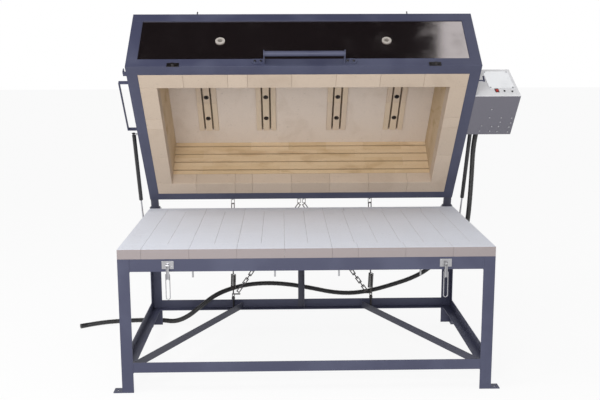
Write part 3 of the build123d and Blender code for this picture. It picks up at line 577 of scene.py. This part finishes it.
# %% Screw heads under the control box
hinge = Vector(next(j for j in frame["joints"] if j["name"] == "lid_hinge")["pos_m"])
open_angle = math.radians(49.66)
opening = Matrix.Rotation(-open_angle, 4, "X")
screw_radius, screw_depth, screw_round = 0.0042, 0.0024, 0.0007
screw_level = 725.2
screw_places = [
    (1013, -212), (1013, -150), (1077, -149), (1134, -147), (1077, -116), (1136, -110), (979, -89),
    (1036, -83), (1074, -82), (1132, -78), (975, -48), (1032, -46), (1073, -42), (1132, -39),
]
for k, (x, y) in enumerate(screw_places):
    bpy.ops.object.select_all(action="DESELECT")
    bpy.ops.mesh.primitive_cylinder_add(vertices=16, radius=screw_radius, depth=screw_depth)
    head = bpy.context.object
    head.name = f"box_screw_{k}"
    bpy.ops.object.mode_set(mode="EDIT")
    bpy.ops.mesh.select_all(action="SELECT")
    bpy.ops.mesh.bevel(offset=screw_round, segments=2)
    bpy.ops.object.mode_set(mode="OBJECT")
    closed = Vector((x, y, screw_level)) * millimetre - hinge
    head.data.transform(Matrix.Translation(hinge) @ opening @ Matrix.Translation(closed))
    bpy.ops.object.shade_smooth_by_angle(angle=math.radians(40))
    set_finish(head, "zinc", "lid")
print("screws", len(screw_places))

# %% [markdown]
# ## Floor, light and camera
# The kiln stands on a white floor that keeps a faint shadow. A large soft lamp in front lights the
# open lid and a second one stands high on the left. A dark plane above, which only mirrors show,
# gives the polished sheet something dark to mirror. The camera stands where the photograph was taken.

# %% Floor and backdrop
def background_rays(tree):
    """1 on the rays that show the background itself: seen, mirrored or through glass."""
    rays = tree.nodes.new("ShaderNodeLightPath")
    total = rays.outputs["Is Camera Ray"]
    for kind in ("Is Glossy Ray", "Is Transmission Ray"):
        add = tree.nodes.new("ShaderNodeMath")
        add.operation, add.use_clamp = "ADD", True
        tree.links.new(total, add.inputs[0])
        tree.links.new(rays.outputs[kind], add.inputs[1])
        total = add.outputs[0]
    return total


bpy.ops.object.select_all(action="DESELECT")
bpy.ops.mesh.primitive_plane_add(size=60, location=(0, 0, -0.0005))
floor = bpy.context.object
floor.name = "floor"
floor_finish = bpy.data.materials.new("floor_white")
floor_finish.use_nodes = True
tree = floor_finish.node_tree
ground = tree.nodes["Principled BSDF"]
ground.inputs["Base Color"].default_value = (0.92, 0.92, 0.92, 1)
ground.inputs["Roughness"].default_value = 0.9
glow = tree.nodes.new("ShaderNodeEmission")
cover = tree.nodes.new("ShaderNodeMixShader")
share = tree.nodes.new("ShaderNodeMath")
share.operation = "MULTIPLY"
share.inputs[1].default_value = 0.90
tree.links.new(background_rays(tree), share.inputs[0])
tree.links.new(share.outputs[0], cover.inputs[0])
tree.links.new(ground.outputs[0], cover.inputs[1])
tree.links.new(glow.outputs[0], cover.inputs[2])
tree.links.new(cover.outputs[0], tree.nodes["Material Output"].inputs["Surface"])
floor.data.materials.append(floor_finish)

world = bpy.data.worlds.new("studio")
bpy.context.scene.world = world
world.use_nodes = True
sky = world.node_tree
sky.nodes["Background"].inputs["Color"].default_value = (1, 1, 1, 1)
level = sky.nodes.new("ShaderNodeMapRange")
level.inputs["To Min"].default_value = 0.55
level.inputs["To Max"].default_value = 1.0
sky.links.new(background_rays(sky), level.inputs["Value"])
sky.links.new(level.outputs[0], sky.nodes["Background"].inputs["Strength"])

# %% Dark ceiling that the polished sheet mirrors
bpy.ops.mesh.primitive_plane_add(size=1, location=(-3.58, 0, 4.2))
ceiling = bpy.context.object
ceiling.name = "dark_ceiling"
ceiling.scale = (9.5, 12, 1)
bpy.ops.object.transform_apply(location=True, rotation=True, scale=True)
ceiling.visible_camera = ceiling.visible_diffuse = ceiling.visible_shadow = False
ceiling_finish = bpy.data.materials.new("ceiling_dark")
ceiling_finish.use_nodes = True
ceiling_surface = ceiling_finish.node_tree.nodes["Principled BSDF"]
ceiling_surface.inputs["Base Color"].default_value = (0.012, 0.006, 0.008, 1)
ceiling_surface.inputs["Roughness"].default_value = 0.9
ceiling.data.materials.append(ceiling_finish)

# %% Lamps
for name, place, aim, size, power in (
    ("front_lamp", (-0.8, -4.6, 2.5), (0, 0.3, 1.1), 2.2, 130),
    ("left_lamp", (-3.0, -1.6, 4.0), (0, -0.2, 0.7), 2.0, 60),
):
    lamp = bpy.data.lights.new(name, "AREA")
    lamp.size, lamp.energy = size, power
    lamp_obj = bpy.data.objects.new(name, lamp)
    lamp_obj.location = place
    lamp_obj.rotation_euler = (Vector(aim) - Vector(place)).to_track_quat("-Z", "Y").to_euler()
    bpy.context.collection.objects.link(lamp_obj)

# %% Camera
yaw, pitch, roll = 0.0215, 0.1775, -0.0035
camera = bpy.data.cameras.new("camera")
camera.lens, camera.sensor_width = 51.54, 36.0
camera_obj = bpy.data.objects.new("camera", camera)
turn = Matrix.Rotation(-yaw, 4, "Z") @ Matrix.Rotation(math.pi / 2 - pitch, 4, "X")
turn = turn @ Matrix.Rotation(roll, 4, "Z")
camera_obj.matrix_world = Matrix.Translation((-0.11944, -4.52581, 1.67378)) @ turn
bpy.context.collection.objects.link(camera_obj)
bpy.context.scene.camera = camera_obj
bpy.context.scene.view_settings.view_transform = "Standard"
